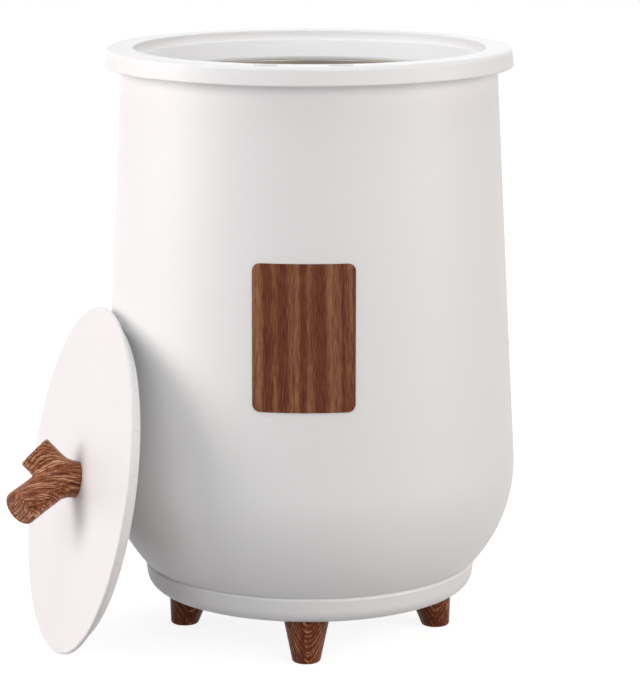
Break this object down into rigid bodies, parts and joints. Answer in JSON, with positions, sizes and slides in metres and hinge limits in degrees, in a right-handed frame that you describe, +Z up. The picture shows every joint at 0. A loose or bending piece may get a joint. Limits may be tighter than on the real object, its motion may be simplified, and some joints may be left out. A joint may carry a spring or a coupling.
{
  "type": "towel warmer bucket",
  "caption": "Round electric towel warmer: tapered white barrel on splayed wooden feet, heated metal chamber, control rim with push buttons, lid with a branch handle.",
  "frame": {"origin": "on the barrel's axis, in the plane that the feet stand on", "axes": "+Z up along the barrel's axis, -Y towards the front (buttons and plaque), +X to the right seen from the front; the lid leans on the -X side"},
  "size_m": [0.4099, 0.3668, 0.4844],
  "materials": {
    "white_moulding": "satin gloss, moulded",
    "lid_moulding": "satin, moulded",
    "pot_aluminium": "spun, lightly brushed",
    "heater_silicone": "matte",
    "white_felt": "needled felt",
    "plated_steel": "zinc plated",
    "black_plastic": "matte",
    "circuit_board": "solder mask",
    "light_pin": "milky, polished",
    "lead_jacket": "matte",
    "grey_rubber": "matte",
    "badge_veneer": "walnut veneer, satin lacquer",
    "branch_wood": "barkless branch, red-brown, satin lacquer",
    "insert_brass": "machined",
    "foot_walnut": "turned, dark stain, satin lacquer",
    "button_grey": "satin"
  },
  "bodies": {
    "bucket": {"base_tray": "white_moulding", "board_screws": "plated_steel", "case_screws": "plated_steel", "control_board": "circuit_board", "control_board_screws": "plated_steel", "control_harness": "lead_jacket", "cord_gland": "grey_rubber", "foot_front": "foot_walnut", "foot_left": "foot_walnut", "foot_rear": "foot_walnut", "foot_right": "foot_walnut", "foot_screws": "plated_steel", "foot_washers": "plated_steel", "front_badge": "badge_veneer", "gland_nut": "black_plastic", "heat_shield": "plated_steel", "heater_film": "heater_silicone", "heater_leads": "lead_jacket", "indicator_leds": "light_pin", "inner_collar": "white_moulding", "inner_pot": "pot_aluminium", "insulation_disc": "white_felt", "insulation_sleeve": "white_felt", "light_pipes": "light_pin", "outer_shell": "white_moulding", "power_board": "circuit_board", "power_capacitors": "black_plastic", "power_dome": "grey_rubber", "power_relay": "black_plastic", "rim_screws": "plated_steel", "sensor_clips": "plated_steel", "sensor_leads": "lead_jacket", "shield_screws": "plated_steel", "temperature_sensor": "black_plastic", "terminal_block": "black_plastic", "thermal_fuse": "plated_steel", "thermostat": "plated_steel", "timer_dome": "grey_rubber", "top_rim": "white_moulding"},
    "lid": {"lid_top": "lid_moulding", "lid_base": "lid_moulding", "lid_insulation": "white_felt", "lid_screws": "plated_steel", "branch_handle": "branch_wood", "handle_insert": "insert_brass", "handle_washer": "plated_steel", "handle_screw": "plated_steel"},
    "power_button": {"power_button": "button_grey"},
    "timer_button": {"timer_button": "button_grey"}
  },
  "joints": [
    {"name": "power_button_press", "type": "slide", "parent": "bucket", "child": "power_button", "axis": [0, 0, -1], "range_m": [0, 0.001], "stiffness_N_per_m": 600, "deforming": ["power_dome"]},
    {"name": "timer_button_press", "type": "slide", "parent": "bucket", "child": "timer_button", "axis": [0, 0, -1], "range_m": [0, 0.001], "stiffness_N_per_m": 600, "deforming": ["timer_dome"]},
    {"name": "lid_lift", "type": "slide", "parent": "bucket", "child": "lid", "axis": [-0.922, -0.3401, 0.1852], "range_m": [0, 0.3]}
  ]
}
